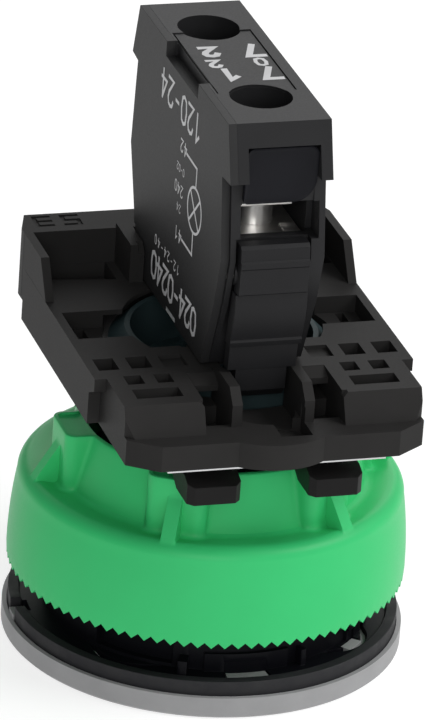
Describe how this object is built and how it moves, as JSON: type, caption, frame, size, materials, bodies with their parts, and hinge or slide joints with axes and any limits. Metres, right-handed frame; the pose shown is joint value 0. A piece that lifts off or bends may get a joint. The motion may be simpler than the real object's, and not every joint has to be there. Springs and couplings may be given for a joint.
{
  "type": "push button",
  "caption": "Flush illuminated panel push button seen with its toothed ring nut, clip-on mounting collar and a slim light block with screw terminals",
  "frame": {"origin": "centre of the bezel's front face, which is also the plane it stands on", "axes": "+Z from the front face back into the cabinet, X across the collar's three block positions, -Y towards the latch and the front terminal"},
  "size_m": [0.0374, 0.0396, 0.0561],
  "materials": {
    "bezel_grey": "satin light grey moulded plastic, fine texture",
    "head_black": "black glass-filled moulded plastic",
    "gasket_rubber": "black moulded seal, matt",
    "seal_rubber": "dark grey lip seal, matt",
    "lens": "milky translucent moulded lens, glossy",
    "pusher_black": "black moulded plastic, smooth",
    "clear_plastic": "clear moulded light guide, polished",
    "spring_steel": "drawn spring wire, bright",
    "nut_green": "satin green moulded plastic",
    "collar_black": "black moulded plastic, fine spark-eroded texture",
    "lock_black": "black moulded plastic",
    "plated_steel": "zinc plated stamped strip",
    "block_black": "dark grey moulded plastic, fine texture",
    "cover_black": "dark grey moulded plastic, fine texture",
    "label_black": "dark grey printed label plate",
    "funnel_black": "smooth blue-black moulded hood",
    "terminal_metal": "nickel plated terminal plate",
    "screw_steel": "nickel plated steel",
    "strip_brass": "stamped brass strip",
    "board_green": "epoxy glass board with solder mask",
    "led_white": "diffused lamp dome",
    "resistor_beige": "lacquered resistor body",
    "latch_black": "black moulded plastic, smooth"
  },
  "bodies": {
    "frame": {"bezel_ring": "bezel_grey", "head_body": "head_black", "panel_gasket": "gasket_rubber", "shaft_seal": "seal_rubber", "collar_body": "collar_black", "block_housing": "block_black", "block_side_cover": "cover_black", "top_label": "label_black", "light_window": "clear_plastic", "circuit_board": "board_green", "led_lamp": "led_white", "resistors": "resistor_beige", "front_contact_strip": "strip_brass", "rear_contact_strip": "strip_brass", "front_wire_funnel": "funnel_black", "rear_wire_funnel": "funnel_black", "front_terminal_plate": "terminal_metal", "rear_terminal_plate": "terminal_metal", "latch_pin": "screw_steel"},
    "button": {"lens_cap": "lens", "pusher": "pusher_black", "light_guide": "clear_plastic", "return_spring": "spring_steel"},
    "nut": {"ring_nut": "nut_green"},
    "lock": {"lock_yoke": "lock_black", "lock_plate": "plated_steel"},
    "front_clamp": {"front_clamp_washer": "terminal_metal"},
    "front_screw": {"front_terminal_screw": "screw_steel"},
    "rear_clamp": {"rear_clamp_washer": "terminal_metal"},
    "rear_screw": {"rear_terminal_screw": "screw_steel"},
    "latch": {"latch_lever": "latch_black"}
  },
  "joints": [
    {"name": "button_press", "type": "slide", "parent": "frame", "child": "button", "axis": [0, 0, 1], "range_m": [0, 0.0038], "stiffness_N_per_m": 500, "springref_m": -0.003, "deforming": ["return_spring"]},
    {"name": "nut_turn", "type": "hinge", "parent": "frame", "child": "nut", "pos_m": [0, 0, 0.0115], "axis": [0, 0, 1], "continuous": true},
    {"name": "lock_slide", "type": "slide", "parent": "frame", "child": "lock", "axis": [0, -1, 0], "range_m": [0, 0.0028]},
    {"name": "front_clamp_travel", "type": "slide", "parent": "frame", "child": "front_clamp", "axis": [0, 0, 1], "range_m": [-0.0018, 0]},
    {"name": "front_screw_turn", "type": "hinge", "parent": "front_clamp", "child": "front_screw", "pos_m": [0, -0.0065, 0.0475], "axis": [0, 0, 1], "range_deg": [-1080, 0]},
    {"name": "rear_clamp_travel", "type": "slide", "parent": "frame", "child": "rear_clamp", "axis": [0, 0, 1], "range_m": [-0.0018, 0]},
    {"name": "rear_screw_turn", "type": "hinge", "parent": "rear_clamp", "child": "rear_screw", "pos_m": [0, 0.0101, 0.0475], "axis": [0, 0, 1], "range_deg": [-1080, 0]},
    {"name": "latch_swing", "type": "hinge", "parent": "frame", "child": "latch", "pos_m": [0, -0.0122, 0.0416], "axis": [-1, 0, 0], "range_deg": [0, 6], "stiffness_Nm_per_rad": 0.02, "springref_deg": -2.86}
  ],
  "couplings": [
    {"joint": "front_screw_turn", "follows": "front_clamp_travel", "rad_per_m": 10472},
    {"joint": "rear_screw_turn", "follows": "rear_clamp_travel", "rad_per_m": 10472}
  ]
}
